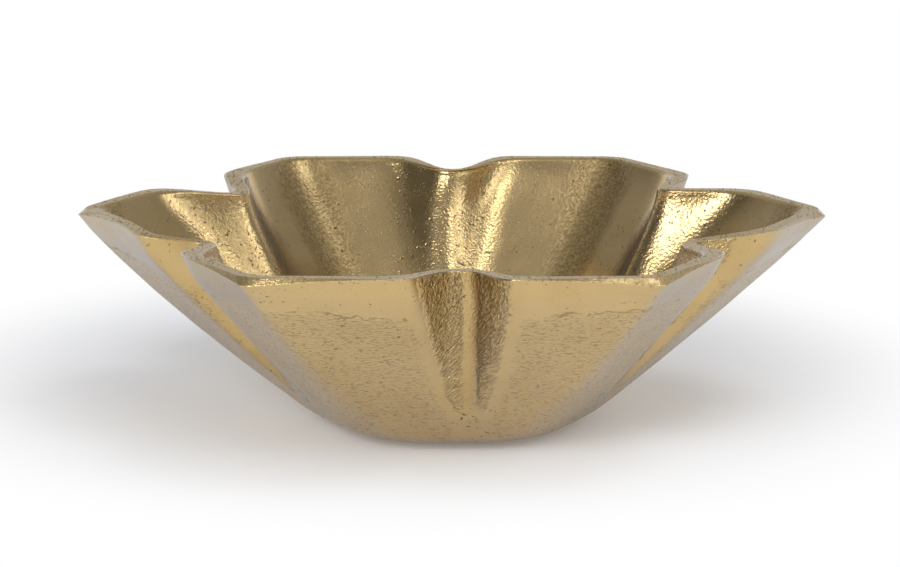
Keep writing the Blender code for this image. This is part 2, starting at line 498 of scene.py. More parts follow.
@dataclass(frozen=True)
class CastBrass:
    """Sand-cast brass: satin outside, pitted land, orange-peel grooves and a glossier, pebbled inside.

    Attributes:
        body: colour of most of the casting.
        deep: the darker of its slow changes of tone.
        ground: colour of freshly ground metal.
        oxide_and_shade: the dark colour of patina on the metal, also used as painted shade in the inner
            corners.
        edge_tint: tint of the metal seen at a glancing angle.
        coat_roughness: roughness of the thin clear film on the metal.
        edges: edges of the zones.
        broad_tone: noise of slow changes of tone.
        broad_roughness: how far those change the roughness.
        fine_grain: noise of the finest grain.
        dash_grain: noise of short level lines.
        stroke_grain: noise of the strokes in a groove.
        stroke_top: height in millimetres at which the strokes are upright.
        stroke_lean: how far the strokes lean.
        stroke_bend: how much more they lean for each millimetre farther down.
        stroke_length: how much their grain is drawn out, where a smaller value gives longer strokes.
        stroke_change: how fast their pattern changes from groove to groove.
        slicked: share of the strokes that the slicked strip lost.
        pebble_grain: noise of rounded pebbles.
        pit_grain: noise of small pits.
        pit_places: noise that keeps the pits to some places.
        foot_pits: how much more often pits come at a groove's foot.
        foot_pit_places: how many more places have pits there.
        ridge_pits: how much more often pits come on the inner ridges.
        dimple_spacing: distance between dimples in millimetres.
        dimple_edge: distances across a dimple's edge, as shares of that.
        dimple_places: noise that keeps the dimples to some places.
        belt_grain: noise of the grinding belt's scores.
        bevel_scores: how many of the scores show on the bevel.
        score_cover: share of the metal's sheen that dirt in the scores takes away.
        land_ground: share of the ground colour on the land.
        bevel_ground: share of the ground colour on the bevel.
        skin: treatment of the whole casting, to which the others add.
    """

    body: Colour = (0.590, 0.413, 0.164)
    deep: Colour = (0.560, 0.386, 0.147)
    ground: Colour = (0.72, 0.52, 0.21)
    oxide_and_shade: Colour = (0.170, 0.110, 0.045)
    edge_tint: Colour = (0.57, 0.66, 0.86)
    coat_roughness: float = 0.38
    edges: ZoneEdges = ZoneEdges()
    broad_tone: Texture = Texture(14.0, span=(0.40, 0.62))
    broad_roughness: float = 0.08
    fine_grain: Texture = Texture(0.55, 3.0, span=(0.50, 0.68))
    dash_grain: Texture = Texture(1.6, 3.0, stretch=(1.0, 1.0, 3.0), span=(0.52, 0.66))
    stroke_grain: Texture = Texture(0.68, 2.0, 0.5, span=(0.56, 0.38))
    stroke_top: float = 66.0
    stroke_lean: float = 0.15
    stroke_bend: float = 0.012
    stroke_length: float = 0.42
    stroke_change: Place = (0.05, 0.03, 0.0)
    slicked: float = 0.75
    pebble_grain: Texture = Texture(1.05, 1.2, span=(0.25, 0.70))
    pit_grain: Texture = Texture(1.1, 1.5, span=(0.66, 0.73))
    pit_places: Texture = Texture(6.0, 1.0, span=(0.46, 0.62))
    foot_pits: float = 0.06
    foot_pit_places: float = 0.12
    ridge_pits: float = 0.05
    dimple_spacing: float = 2.3
    dimple_edge: Span = (0.26, 0.10)
    dimple_places: Texture = Texture(5.0, 1.0, span=(0.44, 0.56))
    belt_grain: Texture = Texture(0.9, 2.0, stretch=(1.0, 0.22, 1.0), span=(0.54, 0.66))
    bevel_scores: float = 0.6
    score_cover: float = 0.95
    land_ground: float = 0.85
    bevel_ground: float = 0.6
    skin: Treatment = Treatment(relief=0.03, tarnish_and_shade=0.08, roughness=0.33)
    grained: Treatment = Treatment(relief=0.50, tarnish_and_shade=0.40, roughness=0.07)
    rough_cast: Treatment = Treatment(relief=1.45, tarnish_and_shade=0.40, roughness=-0.05)
    inside: Treatment = Treatment(relief=0.04, roughness=-0.09)
    ridge: Treatment = Treatment(relief=0.125, tarnish_and_shade=0.10)
    # The darkening of the inner corners is painted shade.
    corner: Treatment = Treatment(relief=0.10, tarnish_and_shade=0.55, roughness=0.14)
    land: Treatment = Treatment(relief=0.10, tarnish_and_shade=0.25, roughness=0.08)
    bevel: Treatment = Treatment(relief=0.18, tarnish_and_shade=0.20, roughness=-0.05)
    pit: Treatment = Treatment(relief=-0.10, tarnish_and_shade=0.75, roughness=0.15)
    dimple: Treatment = Treatment(relief=-0.09, tarnish_and_shade=0.55)
    seam: Treatment = Treatment(relief=-0.06, tarnish_and_shade=0.45)
    score: Treatment = Treatment(tarnish_and_shade=0.75, roughness=0.20)

    def strokes(self, shop: NodeShop) -> Wire:
        """Short slanting strokes, upright at the rim and flatter towards the foot of a groove.

        Args:
            shop: the shop for the material's nodes.

        Returns:
            Values about one half.
        """
        below = self.stroke_top - shop.mark(Mark.HEIGHT)
        slant = shop.mark(Mark.ACROSS) + below * (below * self.stroke_bend + self.stroke_lean)
        sockets = {0: shop.place(), 1: self.stroke_change}
        apart = shop.node("ShaderNodeVectorMath", {"operation": "DOT_PRODUCT"}, sockets, "Value")
        sockets = {0: slant, 1: below * self.stroke_length, 2: apart}
        return self.stroke_grain.values(shop, shop.node("ShaderNodeCombineXYZ", sockets=sockets))

    def prints(self, shop: NodeShop, zones: BrassZones) -> BrassPrints:
        """Adds the noises and masks of what was left on the casting.

        Args:
            shop: the shop for the material's nodes.
            zones: masks of the zones.

        Returns:
            The noises and masks.
        """
        pitted = self.pit_grain.values(shop) + zones.foot * self.foot_pits + zones.ridge * self.ridge_pits
        pit_places = self.pit_places.values(shop) + zones.foot * self.foot_pit_places
        dimples = shop.step(shop.cells(self.dimple_spacing), self.dimple_edge)
        return BrassPrints(
            broad=self.broad_tone.values(shop),
            fine=self.fine_grain.values(shop),
            dashes=self.dash_grain.values(shop),
            strokes=self.strokes(shop),
            pebbles=self.pebble_grain.values(shop),
            rough=zones.groove * (1 - zones.smooth * self.slicked),
            pits=self.pit_grain.mask(shop, pitted) * self.pit_places.mask(shop, pit_places),
            dimples=dimples * self.dimple_places.patches(shop) * zones.ridge,
            scores=self.belt_grain.patches(shop) * (zones.land + zones.bevel * self.bevel_scores),
        )

    def relief(self, zones: BrassZones, prints: BrassPrints) -> Wire:
        """Adds up the relief of the skin.

        Args:
            zones: masks of the zones.
            prints: what was left on the casting.

        Returns:
            Heights in millimetres.
        """
        grain = self.skin.relief + zones.land * self.land.relief + zones.bevel * self.bevel.relief
        pebbled = (
            zones.inside * self.inside.relief
            + zones.ridge * self.ridge.relief
            + zones.corner * self.corner.relief
        )
        return (
            prints.fine * grain
            + prints.dashes * zones.grained * self.grained.relief
            + prints.strokes * prints.rough * self.rough_cast.relief
            + prints.pebbles * pebbled
            + prints.pits * self.pit.relief
            + prints.dimples * self.dimple.relief
            + zones.seam * self.seam.relief
        )

    def tarnish_and_shade(self, shop: NodeShop, zones: BrassZones, prints: BrassPrints) -> Wire:
        """Adds up the darkening of the skin: patina, and painted shade in the inner corners.

        Args:
            shop: the shop for the material's nodes.
            zones: masks of the zones.
            prints: what was left on the casting.

        Returns:
            Shares of the dark patina colour in the colour.
        """
        grit = (
            self.skin.tarnish_and_shade
            + zones.land * self.land.tarnish_and_shade
            + zones.bevel * self.bevel.tarnish_and_shade
            + zones.ridge * self.ridge.tarnish_and_shade
        )
        return (
            self.fine_grain.mask(shop, prints.fine) * grit
            + self.dash_grain.mask(shop, prints.dashes) * zones.grained * self.grained.tarnish_and_shade
            + self.stroke_grain.mask(shop, prints.strokes) * prints.rough * self.rough_cast.tarnish_and_shade
            # Darkening in the inner corners is painted shade.
            + self.pebble_grain.mask(shop, prints.pebbles) * zones.corner * self.corner.tarnish_and_shade
            + prints.pits * self.pit.tarnish_and_shade
            + prints.dimples * self.dimple.tarnish_and_shade
            + prints.scores * self.score.tarnish_and_shade
            + zones.seam * self.seam.tarnish_and_shade
        )

    def roughness(self, zones: BrassZones, prints: BrassPrints) -> Wire:
        """Adds up the roughness of the skin.

        Args:
            zones: masks of the zones.
            prints: what was left on the casting.

        Returns:
            The roughness.
        """
        return (
            self.skin.roughness
            + (prints.broad - NOISE_MIDDLE) * self.broad_roughness
            + zones.grained * self.grained.roughness
            + zones.groove * self.rough_cast.roughness
            + zones.inside * self.inside.roughness
            + zones.corner * self.corner.roughness
            + zones.land * self.land.roughness
            + zones.bevel * self.bevel.roughness
            + prints.pits * self.pit.roughness
            + prints.scores * self.score.roughness
        )

    def dress(self, piece: bpy.types.Object) -> None:
        """Gives the casting its finish.

        Args:
            piece: the casting, with its marks.
        """
        material, shop = new_material("burnished_cast_brass")
        zones = self.edges.zones(shop)
        prints = self.prints(shop, zones)
        tarnish_and_shade = self.tarnish_and_shade(shop, zones, prints)
        fresh = zones.land * self.land_ground + zones.bevel * self.bevel_ground
        colour = shop.blend(self.body, self.deep, self.broad_tone.mask(shop, prints.broad))
        colour = shop.blend(colour, self.ground, fresh)
        # Patina, and painted shade in the inner corners, darken the colour.
        colour = shop.blend(colour, self.oxide_and_shade, tarnish_and_shade)
        shader = shop.node(
            "ShaderNodeBsdfPrincipled",
            sockets={
                "Base Color": colour,
                "Metallic": 1 - prints.scores * self.score_cover,
                "Roughness": self.roughness(zones, prints),
                "Specular Tint": (*self.edge_tint, 1.0),
                "Coat Weight": (1 - tarnish_and_shade) * (1 - zones.land),
                "Coat Roughness": self.coat_roughness,
                "Normal": shop.bump(self.relief(zones, prints)),
            },
        )
        shop.show(shader)
        piece.data.materials.append(material)


@dataclass(frozen=True)
class WoolFelt:
    """Dark pressed felt with matted fibres.

    Attributes:
        dark: colour between the fibres.
        light: colour of the fibres on top.
        fibres: noise of the matted fibres, whose span is that of the colour.
        clumps: noise of denser and looser places.
        clump_share: how far the clumps rather than the fibres set the colour.
        pile: height of the fibres in millimetres.
        roughness: the felt's roughness.
        sheen: how much its loose fibres light up at a glancing angle.
        sheen_roughness: how wide that light is.
    """

    dark: Colour = (0.030, 0.027, 0.024)
    light: Colour = (0.085, 0.078, 0.070)
    fibres: Texture = Texture(0.35, 4.0, 2.5, span=(0.40, 0.66))
    clumps: Texture = Texture(2.2, 2.0)
    clump_share: float = 0.3
    pile: float = 0.12
    roughness: float = 0.95
    sheen: float = 0.3
    sheen_roughness: float = 0.5

    def material(self) -> bpy.types.Material:
        """Makes the felt's material.

        Returns:
            The material.
        """
        material, shop = new_material("pressed_wool_felt")
        matted = self.fibres.values(shop)
        tone = matted * (1 - self.clump_share) + self.clumps.values(shop) * self.clump_share
        shader = shop.node(
            "ShaderNodeBsdfPrincipled",
            sockets={
                "Base Color": shop.blend(self.dark, self.light, self.fibres.mask(shop, tone)),
                "Roughness": self.roughness,
                "Sheen Weight": self.sheen,
                "Sheen Roughness": self.sheen_roughness,
                "Normal": shop.bump(matted * self.pile),
            },
        )
        shop.show(shader)
        return material


@dataclass(frozen=True)
class Station:
    """One outline round the casting.

    Attributes:
        apothem: distance from the axis to the middle of a side, before the groove is pressed in.
        height: height above the casting's underside.
        corner: radius of the hexagon's corners.
        ridge: how much wider the groove is there than on the outside.
        cut: how much of the bevel's width has cut the outline in.
        sunk: how much of the bevel's drop has cut the outline down.
        inside: 1 on the inner skin.
        land: 1 on the ground rim.
        bevel: 1 on the rim's outer bevel.
    """

    apothem: float
    height: float
    corner: float
    ridge: float = 0.0
    cut: float = 0.0
    sunk: float = 0.0
    inside: float = 0.0
    land: float = 0.0
    bevel: float = 0.0


class Ring(NamedTuple):
    """Points of an outline, or of one side of it.

    Attributes:
        points: one row of coordinates for each point.
        gaps: each point's gap from the rough skin of its groove.
        acrosses: each point's distance from the middle of that skin, anticlockwise from above.
    """

    points: np.ndarray
    gaps: np.ndarray
    acrosses: np.ndarray


@dataclass(frozen=True)
class Groove:
    """How one groove differs from the even one.

    Attributes:
        shift: how far it lies off the middle of its side, anticlockwise from above.
        rim_shift: the same at the rim.
        deeper: extra depth outside.
        ridge_deeper: extra depth inside.
        dip: extra dip of the rim.
        before: how much wider its clockwise flank is.
        after: how much wider its anticlockwise flank is.
        lift_before: extra height of the rim halfway to the petal on its clockwise side.
        lift_after: extra height of the rim halfway to the petal on its anticlockwise side.
        flatness: power of its section, where a larger one has a flatter bottom and steeper flanks.
        rough_shift: how far its rough skin lies off its middle, anticlockwise from above.
    """

    shift: float = 0.0
    rim_shift: float = 0.0
    deeper: float = 0.0
    ridge_deeper: float = 0.0
    dip: float = 0.0
    before: float = 1.0
    after: float = 1.0
    lift_before: float = 0.0
    lift_after: float = 0.0
    flatness: float = 2.0
    rough_shift: float = 0.0


@dataclass(frozen=True)
class Petal:
    """How one petal differs from the even one.

    Attributes:
        reach: extra reach of its tip at the rim.
        rise: extra height of its tip.
        belly: extra fullness halfway up.
        bevel: size of the bevel at its tip, as a share of the even one.
    """

    reach: float = 0.0
    rise: float = 0.0
    belly: float = 0.0
    bevel: float = 1.0


@dataclass(frozen=True)
class Swell:
    """One size of unevenness that the mould left.

    Attributes:
        size: size of its swells in millimetres.
        height: how far they move the skin, in millimetres.
        ground_off: share of them that grinding took off the rim.
        grooves_only: whether they show in the grooves alone.
    """

    size: float
    height: float
    ground_off: float = 0.0
    grooves_only: bool = False


@dataclass
class CastBowl:
    """The casting, as one closed run of outlines from the base over the rim to the floor inside.

    Lengths are in metres, apart from those of the swells. A power says how fast a change grows towards the
    rim or a corner. Starts of the flat and the corner are shares of the way from a side's middle to its
    corner, and the other shares say where outlines lie on the base, the floor, the bevel and the land.
    """

    node: str = "cast_bowl"
    rim_apothem: float = 0.1111
    wall_foot: float = 0.044
    wall_thickness: float = 0.0042
    wall_bulge: float = 0.0011
    lip_height: float = 0.0078
    lip_lean: float = 0.0046
    floor_thickness: float = 0.0048
    base_fillet: float = 0.021
    floor_fillet: float = 0.017
    rim_corner: float = 0.0055
    base_corner: float = 0.031
    inner_rim_corner: float = 0.012
    inner_floor_corner: float = 0.027
    corner_power: float = 3.2
    side_bow: float = 0.0022
    rim_width: float = 0.0056
    land_corner: float = 0.014
    bevel_width: float = 0.0013
    bevel_width_power: float = 0.4
    bevel_drop: float = 0.0013
    bevel_drop_power: float = 2.0
    tip_bevel_drop: float = 0.0011
    tip_bevel_power: float = 12.0
    inner_edge_round: float = 0.0013
    rim_dip: float = 0.0013
    rim_dip_power: float = 4.0
    groove_depth: float = 0.0215
    groove_half_width: float = 0.0101
    ridge_extra: float = 0.0020
    groove_foot: float = 0.014
    groove_foot_share: float = 0.12
    groove_depth_power: float = 1.1
    groove_width_power: float = 0.55
    rim_shift_span: Span = (0.75, 1.0)
    rough_edge_share: float = 1.42
    lift_power: float = 4.0
    reach_power: float = 2.0
    grooves: tuple[Groove, ...] = (
        Groove(dip=-0.0013, lift_before=0.0001),
        Groove(shift=0.0030, ridge_deeper=-0.0042, flatness=2.4),
        Groove(dip=0.0005, before=1.25, lift_after=0.0006),
        Groove(
            deeper=-0.0030,
            ridge_deeper=-0.0045,
            dip=0.0005,
            before=0.45,
            lift_before=0.0014,
            rough_shift=0.0050,
        ),
        Groove(
            shift=0.0030,
            rim_shift=0.0024,
            ridge_deeper=-0.0012,
            dip=0.0004,
            before=1.10,
            after=0.90,
            flatness=2.8,
            rough_shift=0.0026,
        ),
        Groove(
            deeper=-0.0010,
            ridge_deeper=-0.0016,
            dip=0.0006,
            lift_after=0.0005,
            rough_shift=-0.0050,
        ),
    )
    petals: tuple[Petal, ...] = (
        Petal(reach=-0.0001, rise=0.0008, belly=-0.0010),
        Petal(rise=0.0003),
        Petal(rise=0.0003),
        Petal(reach=0.0005, rise=0.0008, belly=0.0010, bevel=0.8),
        Petal(),
        Petal(),
    )
    swells: tuple[Swell, ...] = (
        Swell(22.0, 0.16, ground_off=0.6),
        Swell(7.0, 0.07, ground_off=0.7),
        Swell(2.6, 0.07, grooves_only=True),
    )
    swell_heights: Span = (1.0, 9.0)
    swell_groove_edge: Span = (1.0, -1.0)
    groove_points: int = 30
    flat_points: int = 10
    corner_points: int = 8
    flat_start: float = 0.50
    corner_start: float = 0.90
    fillet_steps: int = 14
    wall_steps: int = 44
    outer_lip_steps: int = 12
    inner_lip_steps: int = 6
    easing_start: int = 20
    outer_easing: int = 6
    inner_easing: int = 60
    edge_steps: int = 8
    disc_shares: tuple[float, ...] = (0.2, 0.45, 0.7, 0.88)
    bevel_shares: tuple[float, ...] = (0.0, 0.10, 0.35, 0.65, 0.90, 1.0)
    land_shares: tuple[float, ...] = (0.05, 0.12, 0.3, 0.5, 0.7, 0.9, 1.0)
    bottom: float = field(init=False)
    casting_height: float = field(init=False)
    shares: np.ndarray = field(init=False)
    nearness: np.ndarray = field(init=False)

    def __post_init__(self) -> None:
        """Takes the casting's place and height from the frame, and spaces the points across one side."""
        low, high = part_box(self.node)
        self.bottom = low[2]
        self.casting_height = high[2] - low[2]
        groove = np.linspace(0.0, self.flat_start, self.groove_points, endpoint=False)
        flat = np.linspace(self.flat_start, self.corner_start, self.flat_points, endpoint=False)
        corner = np.linspace(self.corner_start, 1.0, self.corner_points + 1)
        half = np.concatenate([groove, flat, corner])
        self.shares = np.concatenate([-half[:0:-1], half[:-1]])
        self.nearness = np.sin(math.pi / 2 * self.shares) ** 2

    def shoulder(self) -> np.ndarray:
        """Where the outer wall turns into the lip, as apothem and height."""
        return np.array((self.rim_apothem - self.lip_lean, self.casting_height - self.lip_height))

    def wall_arc(self) -> tuple[np.ndarray, float]:
        """Centre and radius of the shallow arc that the outer wall follows.

        Returns:
            The centre as apothem and height, and the radius.
        """
        foot = np.array((self.wall_foot, 0.0))
        chord = self.shoulder() - foot
        length = float(np.hypot(*chord))
        radius = length**2 / (8 * self.wall_bulge) + self.wall_bulge / 2
        inward = np.array((-chord[1], chord[0])) / length
        return foot + chord / 2 + inward * (radius - self.wall_bulge), radius

    @staticmethod
    def arc(
        centre: np.ndarray, radius: float, start: np.ndarray, end: np.ndarray, steps: int
    ) -> np.ndarray:
        """Points on an arc between the directions of two points.

        Args:
            centre: the arc's centre.
            radius: its radius.
            start: a point in the direction of its start.
            end: a point in the direction of its end.
            steps: how many steps it has.

        Returns:
            One row for each point, with the start but not the end.
        """
        first = math.atan2(*(start - centre)[::-1])
        last = math.atan2(*(end - centre)[::-1])
        turns = np.linspace(first, last, steps, endpoint=False)
        return centre + radius * np.column_stack([np.cos(turns), np.sin(turns)])

    def skin(
        self, inset: float, floor: float, fillet: float, rim: np.ndarray, lip_steps: int, passes: int
    ) -> np.ndarray:
        """One skin of the wall, from the floor's edge to just under the rim.

        Args:
            inset: distance in from the outer skin.
            floor: height of its floor.
            fillet: radius where the floor turns into the wall.
            rim: apothem and height at the rim.
            lip_steps: how many steps the lip has.
            passes: how far the bend into the lip is eased.

        Returns:
            One row of apothem and height for each point, without the rim.
        """
        centre, outer_radius = self.wall_arc()
        radius = outer_radius - inset
        fillet_height = floor + fillet
        reach = math.sqrt((radius - fillet) ** 2 - (fillet_height - centre[1]) ** 2)
        rounding = np.array((centre[0] + reach, fillet_height))
        edge = np.array((rounding[0], floor))
        start = centre + (rounding - centre) * (radius / (radius - fillet))
        top = centre + (self.shoulder() - centre) * (radius / outer_radius)
        lip = top + (rim - top) * np.linspace(0.0, 1.0, lip_steps, endpoint=False)[:, None]
        turn = self.arc(rounding, fillet, edge, start, self.fillet_steps)
        wall = self.arc(centre, radius, start, top, self.wall_steps)
        return self.relax(np.concatenate([turn, wall, lip, [rim]]), passes)[:-1]

    def relax(self, points: np.ndarray, passes: int) -> np.ndarray:
        """Eases the bends of a run of points, from the wall's lower part up.

        Args:
            points: the run, one row for each point. The last one stays.
            passes: how often each point moves half way to the middle of its neighbours.

        Returns:
            The eased run.
        """
        first = self.easing_start
        eased = points.copy()
        for _ in range(passes):
            middles = (eased[first - 1 : -2] + eased[first + 1 :]) / 2
            eased[first:-1] = (eased[first:-1] + middles) / 2
        return eased

    def corner_at(self, height: float, at_rim: float, at_base: float) -> float:
        """Radius of the corners at a height."""
        fall = 1 - min(height / self.casting_height, 1.0)
        return at_rim + (at_base - at_rim) * fall**self.corner_power

    def stations(self) -> list[Station]:
        """All outlines, from the middle of the base over the rim to the middle of the floor.

        Returns:
            The outlines in order, without the two middles themselves.
        """
        rim = np.array((self.rim_apothem, self.casting_height))
        inner_rim = rim - (self.rim_width, 0.0)
        outer = self.skin(0.0, 0.0, self.base_fillet, rim, self.outer_lip_steps, self.outer_easing)
        inner = self.skin(
            self.wall_thickness,
            self.floor_thickness,
            self.floor_fillet,
            inner_rim,
            self.inner_lip_steps,
            self.inner_easing,
        )
        base = [Station(outer[0][0] * share, 0.0, self.base_corner * share) for share in self.disc_shares]
        inner_side = self.inner_side(np.concatenate([[inner_rim], inner[::-1]]))
        floor = [
            Station(inner[0][0] * share, self.floor_thickness, self.inner_floor_corner * share, inside=1.0)
            for share in self.disc_shares[::-1]
        ]
        return base + self.outer_side(outer) + self.rim() + inner_side + floor

    def outer_side(self, skin: np.ndarray) -> list[Station]:
        """Outlines of the outer skin.

        Args:
            skin: apothems and heights from the base up.

        Returns:
            The outlines in order.
        """
        lip_start = self.casting_height - self.lip_height
        made = []
        for apothem, height in skin:
            corner = self.corner_at(height, self.rim_corner, self.base_corner)
            sunk = max((height - lip_start) / self.lip_height, 0.0)
            made.append(Station(apothem, height, corner, sunk=sunk))
        return made

    def rim(self) -> list[Station]:
        """Outlines of the rim's bevel and of its flat land.

        Returns:
            The outlines in order, from the outside in.
        """
        top = self.casting_height
        made = []
        for share in self.bevel_shares:
            corner = self.rim_corner + (self.land_corner - self.rim_corner) * share
            made.append(Station(self.rim_apothem, top, corner, cut=share, sunk=1 - share, bevel=1.0))
        flat = 1 - self.inner_edge_round / self.rim_width
        for share in self.land_shares:
            made.append(self.land_station(share * flat, top, 0.0))
        return made

    def inner_side(self, skin: np.ndarray) -> list[Station]:
        """Outlines of the rim's rounded inner edge and of the inner skin.

        Args:
            skin: apothems and heights from the rim down, with a sharp edge at the rim.

        Returns:
            The outlines in order.
        """
        top = self.casting_height
        lengths = np.concatenate([[0.0], np.cumsum(np.hypot(*np.diff(skin, axis=0).T))])
        after = int(np.searchsorted(lengths, self.inner_edge_round))
        part = (self.inner_edge_round - lengths[after - 1]) / (lengths[after] - lengths[after - 1])
        slope = skin[after] - skin[after - 1]
        end = skin[after - 1] + slope * part
        bend = end + slope * (top - end[1]) / slope[1]
        start = np.array((self.rim_apothem - self.rim_width + self.inner_edge_round, top))
        made = []
        for share in np.linspace(0.0, 1.0, self.edge_steps + 1)[1:]:
            turned = start * (1 - share) ** 2 + bend * 2 * share * (1 - share) + end * share**2
            across = (self.rim_apothem - turned[0]) / self.rim_width
            made.append(self.land_station(across, turned[1], share))
        for apothem, height in skin[after:]:
            corner = self.corner_at(height, self.inner_rim_corner, self.inner_floor_corner)
            made.append(Station(apothem, height, corner, self.ridge_extra, inside=1.0))
        return made

    def land_station(self, share: float, height: float, inside: float) -> Station:
        """One outline on the ground rim or on its rounded inner edge.

        Args:
            share: how far across the rim it lies, from 0 at the bevel to 1 at the inner skin.
            height: its height.
            inside: how far it belongs to the inner skin.

        Returns:
            The outline.
        """
        return Station(
            apothem=self.rim_apothem - self.rim_width * share,
            height=height,
            corner=self.land_corner + (self.inner_rim_corner - self.land_corner) * share,
            ridge=self.ridge_extra * share,
            cut=max(1 - share, 0.0),
            inside=inside,
            land=1 - inside,
        )

    def outline(self, apothem: float, corner: float) -> tuple[np.ndarray, np.ndarray]:
        """One side of a hexagon with rounded corners and a slight bow.

        Args:
            apothem: distance from the axis to the side's middle.
            corner: radius of the corners.

        Returns:
            Distances out from the axis, and distances along the side.
        """
        angles = HALF_SIDE * self.shares
        straight = apothem / np.cos(angles)
        centre = (apothem - corner) / math.cos(HALF_SIDE)
        off = HALF_SIDE - np.abs(angles)
        across = centre * np.sin(off)
        rounded = centre * np.cos(off) + np.sqrt(np.maximum(corner**2 - across**2, 0.0))
        start = math.atan2((apothem - corner) * math.tan(HALF_SIDE), apothem)
        bow = self.side_bow * apothem / self.rim_apothem * self.nearness
        reach = np.where(np.abs(angles) > start, rounded, straight) - bow
        return reach * np.cos(angles), reach * np.sin(angles)

    def groove_rise(self, station: Station) -> float:
        """How far up its grooves an outline lies, from 0 at their foot to 1 at the rim."""
        return max(station.height - self.groove_foot, 0.0) / (self.casting_height - self.groove_foot)

    def side(self, station: Station, number: int) -> Ring:
        """One side of an outline, from the middle of one petal to the middle of the next.

        Args:
            station: the outline.
            number: the side's number, anticlockwise from above.

        Returns:
            The side's points.
        """
        groove = self.grooves[number]
        rise = self.groove_rise(station)
        out, along = self.outline(station.apothem, station.corner)
        shift = groove.shift + (groove.rim_shift - groove.shift) * ramp(rise, self.rim_shift_span)
        widening = (1 - self.groove_foot_share) * rise**self.groove_width_power
        half_width = self.groove_half_width * (self.groove_foot_share + widening) + station.ridge
        width = half_width * np.where(along < shift, groove.before, groove.after)
        # The section is a bell that has half its depth at the groove's half width.
        bell = 0.5 ** (np.abs((along - shift) / width) ** groove.flatness)
        inner_share = station.ridge / self.ridge_extra
        deeper = groove.deeper + (groove.ridge_deeper - groove.deeper) * inner_share
        depth = (self.groove_depth + deeper) * rise**self.groove_depth_power
        dip = (self.rim_dip + groove.dip) * rise**self.rim_dip_power
        out = out - depth * bell
        up = self.bottom + station.height - dip * bell
        out, along, up = self.petal_ends(station, number, out, along, up)
        facing = HALF_SIDE * (2 * number + 1)
        x = out * math.cos(facing) - along * math.sin(facing)
        y = out * math.sin(facing) + along * math.cos(facing)
        across = along - shift - groove.rough_shift
        return Ring(np.column_stack([x, y, up]), np.abs(across) - self.rough_edge_share * width, across)

    def petal_ends(
        self, station: Station, number: int, out: np.ndarray, along: np.ndarray, up: np.ndarray
    ) -> tuple[np.ndarray, np.ndarray, np.ndarray]:
        """Gives the two ends of a side their bevel, and what sets their petals apart.

        Args:
            station: the outline.
            number: the side's number, anticlockwise from above.
            out: distances out from the axis.
            along: distances along the side.
            up: heights.

        Returns:
            The changed distances out and along, and the changed heights.
        """
        groove, near = self.grooves[number], self.nearness
        before, after = self.petals[number], self.petals[(number + 1) % SIDES]
        first_half = self.shares < 0
        level = station.height / self.casting_height
        bevel = np.where(first_half, before.bevel, after.bevel)
        tip_drop = self.tip_bevel_drop * near**self.tip_bevel_power
        drop = self.bevel_drop * near**self.bevel_drop_power + tip_drop
        out = out - station.cut * bevel * self.bevel_width * near**self.bevel_width_power
        lift = np.where(first_half, groove.lift_before, groove.lift_after)
        halfway = np.sin(math.pi * np.abs(self.shares))
        up = up - station.sunk * bevel * drop + lift * halfway * level**self.lift_power
        for petal, mine in ((before, first_half), (after, ~first_half)):
            weight = near * mine
            gain = petal.reach * level**self.reach_power + petal.belly * math.sin(math.pi * level)
            stretch = 1 + gain * weight / max(station.apothem, self.wall_thickness)
            out = out * stretch
            along = along * stretch
            up = up + petal.rise * level**self.lift_power * np.sqrt(weight)
        return out, along, up

    def ring(self, station: Station) -> Ring:
        """One outline, once round the casting and anticlockwise from above."""
        sides = [self.side(station, number) for number in range(SIDES)]
        return Ring(*(np.concatenate(parts) for parts in zip(*sides)))

    def marks(self, stations: list[Station], rings: list[Ring]) -> dict[Mark, np.ndarray]:
        """Values for the finish to read.

        Args:
            stations: the outlines.
            rings: their points.

        Returns:
            Values at each point, ring by ring, and then at the middles of the base and of the floor.
        """
        count = len(rings[0].points)
        spread = [station for station in stations for _ in range(count)] + [stations[0], stations[-1]]
        middles = np.zeros(2)
        gaps = np.concatenate([*(ring.gaps for ring in rings), middles + self.wall_foot])
        acrosses = np.concatenate([*(ring.acrosses for ring in rings), middles])
        return {
            Mark.GROOVE_GAP: gaps * PER_MM,
            Mark.ACROSS: acrosses * PER_MM,
            Mark.HEIGHT: np.array([station.height for station in spread]) * PER_MM,
            Mark.INSIDE: np.array([station.inside for station in spread]),
            Mark.LAND: np.array([station.land for station in spread]),
            Mark.BEVEL: np.array([station.bevel for station in spread]),
            Mark.CORNER: np.concatenate([np.tile(self.nearness, len(rings) * SIDES), middles]),
        }

    def build(self) -> bpy.types.Object:
        """Builds the casting's mesh, with its marks, and sets it in the frame.

        Returns:
            The casting.
        """
        stations = self.stations()
        rings = [self.ring(station) for station in stations]
        base_middle = (0.0, 0.0, self.bottom)
        floor_middle = (0.0, 0.0, self.bottom + self.floor_thickness)
        points = [ring.points for ring in rings]
        mesh = stacked_mesh("petal_bowl_casting", points, floor_middle, base_middle)
        marks = self.marks(stations, rings)
        self.roughen(mesh, marks)
        for mark, values in marks.items():
            kept = mesh.attributes.new(mark.value, "FLOAT", "POINT")
            kept.data.foreach_set("value", values.astype(np.float32))
        return seat("petal_bowl_casting", mesh, self.node)

